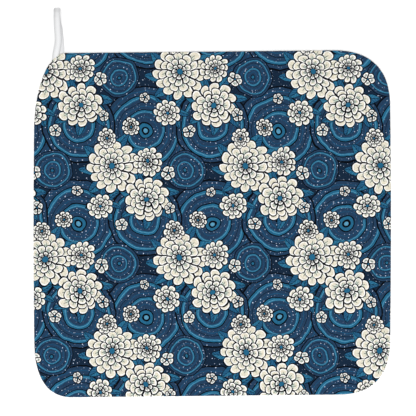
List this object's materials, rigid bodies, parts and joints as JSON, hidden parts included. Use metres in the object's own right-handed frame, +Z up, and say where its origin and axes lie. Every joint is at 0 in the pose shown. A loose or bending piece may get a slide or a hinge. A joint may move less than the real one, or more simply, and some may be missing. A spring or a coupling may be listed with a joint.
{
  "type": "tenugui hand towel with hanging loop",
  "caption": "Flat, nearly square printed hand towel with rounded corners and a folded tape loop caught in its far left corner, lying face up.",
  "frame": {"origin": "centre of the towel's underside, on the surface that it lies on", "axes": "+Z up out of the printed face, +Y towards the edge whose left end carries the hanging loop, +X to the right of the printed face"},
  "size_m": [0.3, 0.3263, 0.007],
  "materials": {
    "printed_cloth": "matt short-pile cloth printed in navy, blue, cream and pale green over white",
    "white_tape": "matt flat woven white tape"
  },
  "bodies": {
    "root": {"towel_cloth": "printed_cloth", "hanging_loop": "white_tape"}
  },
  "joints": []
}
